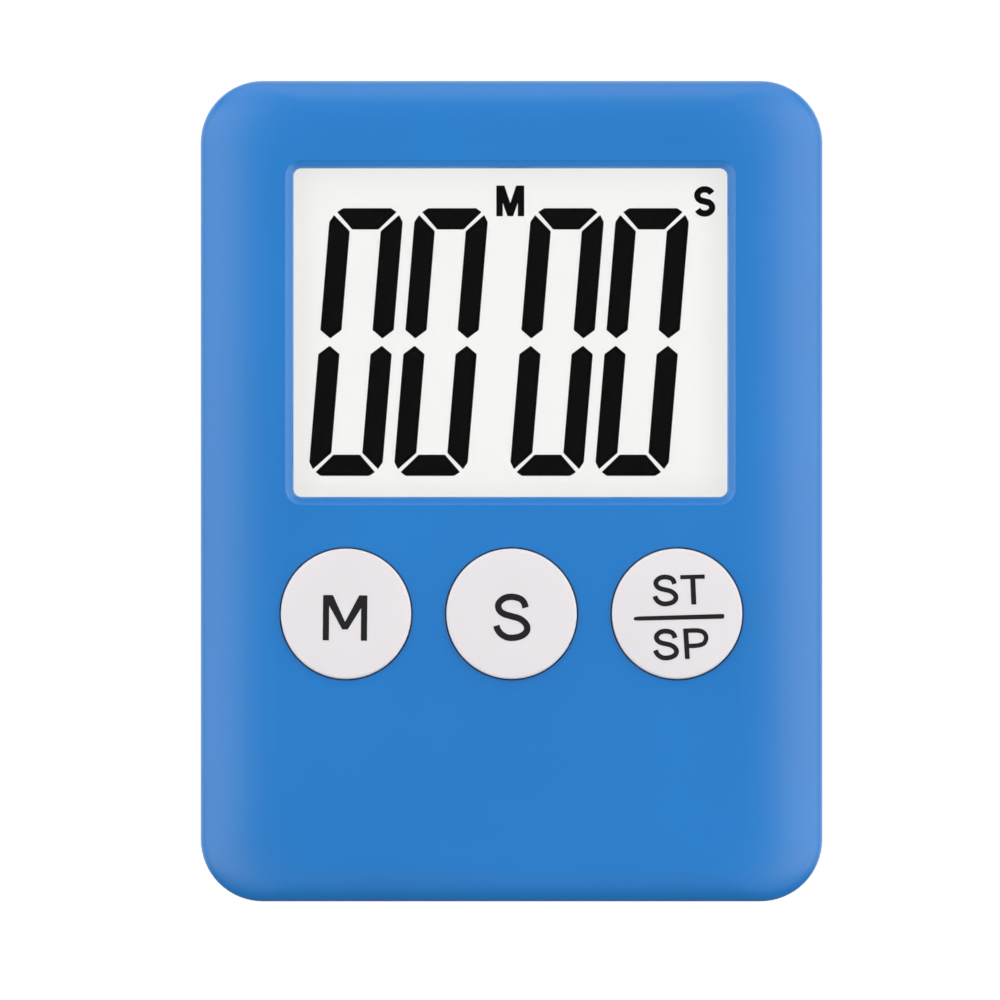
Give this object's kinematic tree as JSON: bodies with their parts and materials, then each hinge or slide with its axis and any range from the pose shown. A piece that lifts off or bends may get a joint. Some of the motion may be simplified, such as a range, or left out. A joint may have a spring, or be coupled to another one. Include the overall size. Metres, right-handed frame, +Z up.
{
  "type": "lab timer",
  "caption": "Thin pocket countdown timer with a large digital display, round push buttons, fold-out stand and magnets on the back.",
  "frame": {"origin": "centre of the bounding box's bottom face, at the middle of the bottom edge", "axes": "+Z up from the buttons to the display, -Y out of the display face, +X to the right seen from the front"},
  "size_m": [0.055, 0.0114, 0.0726],
  "materials": {
    "shell_abs": "satin moulded ABS, mid blue",
    "window_clear": "clear acrylic lens, polished",
    "black_adhesive": "double-sided tape",
    "polarizer_film": "smooth film",
    "lcd_glass": "polished",
    "lcd_ink": "darkened liquid crystal",
    "seal_epoxy": "cured epoxy",
    "reflector_white": "white reflector film",
    "black_foam": "closed-cell foam",
    "zebra_rubber": "layered silicone and carbon",
    "board_green": "solder mask on glass-epoxy",
    "carbon_ink": "printed or moulded carbon",
    "chip_epoxy": "glossy black epoxy",
    "tinned_steel": "tinned",
    "chip_ceramic": "fired ceramic with tinned ends",
    "chip_black": "moulded",
    "zinc_steel": "zinc plated",
    "keypad_rubber": "translucent silicone",
    "button_white": "satin moulded ABS, off-white",
    "buzzer_brass": "rolled",
    "buzzer_ceramic": "silvered ceramic",
    "wire_pvc": "PVC insulation",
    "cell_nickel": "nickel-plated can",
    "magnet_nickel": "nickel plated"
  },
  "bodies": {
    "case": {"front_shell": "shell_abs", "rear_shell": "shell_abs", "window_lens": "window_clear", "lens_adhesive": "black_adhesive", "lcd_polarizer": "polarizer_film", "lcd_front_glass": "lcd_glass", "lcd_segments": "lcd_ink", "lcd_seal": "seal_epoxy", "lcd_rear_glass": "lcd_glass", "lcd_reflector": "reflector_white", "lcd_cushion": "black_foam", "zebra_strip": "zebra_rubber", "circuit_board": "board_green", "contact_pads": "carbon_ink", "chip_blob": "chip_epoxy", "crystal_can": "tinned_steel", "capacitors": "chip_ceramic", "resistors": "chip_black", "transistor": "chip_black", "board_screws": "zinc_steel", "rubber_keypad": "keypad_rubber", "case_screws": "zinc_steel", "buzzer_disc": "buzzer_brass", "buzzer_ceramic": "buzzer_ceramic", "buzzer_wires": "wire_pvc", "battery_cell": "cell_nickel", "battery_contact_pos": "tinned_steel", "battery_contact_neg": "tinned_steel", "battery_wires": "wire_pvc", "magnet_left": "magnet_nickel", "magnet_right": "magnet_nickel"},
    "button_m": {"button_m": "button_white", "carbon_pill_m": "carbon_ink"},
    "button_s": {"button_s": "button_white", "carbon_pill_s": "carbon_ink"},
    "button_stsp": {"button_stsp": "button_white", "carbon_pill_stsp": "carbon_ink"},
    "battery_cover": {"battery_cover": "shell_abs"},
    "stand": {"stand": "shell_abs"}
  },
  "joints": [
    {"name": "button_m_press", "type": "slide", "parent": "case", "child": "button_m", "axis": [0, 1, 0], "range_m": [0, 0.0006], "stiffness_N_per_m": 1800, "springref_m": -0.0003, "deforming": ["rubber_keypad"]},
    {"name": "button_s_press", "type": "slide", "parent": "case", "child": "button_s", "axis": [0, 1, 0], "range_m": [0, 0.0006], "stiffness_N_per_m": 1800, "springref_m": -0.0003, "deforming": ["rubber_keypad"]},
    {"name": "button_stsp_press", "type": "slide", "parent": "case", "child": "button_stsp", "axis": [0, 1, 0], "range_m": [0, 0.0006], "stiffness_N_per_m": 1800, "springref_m": -0.0003, "deforming": ["rubber_keypad"]},
    {"name": "battery_cover_slide", "type": "slide", "parent": "case", "child": "battery_cover", "axis": [0, 0, -1], "range_m": [0, 0.0175]},
    {"name": "stand_fold", "type": "hinge", "parent": "case", "child": "stand", "pos_m": [0, 0.00445, 0.047], "axis": [1, 0, 0], "range_deg": [0, 45]}
  ]
}
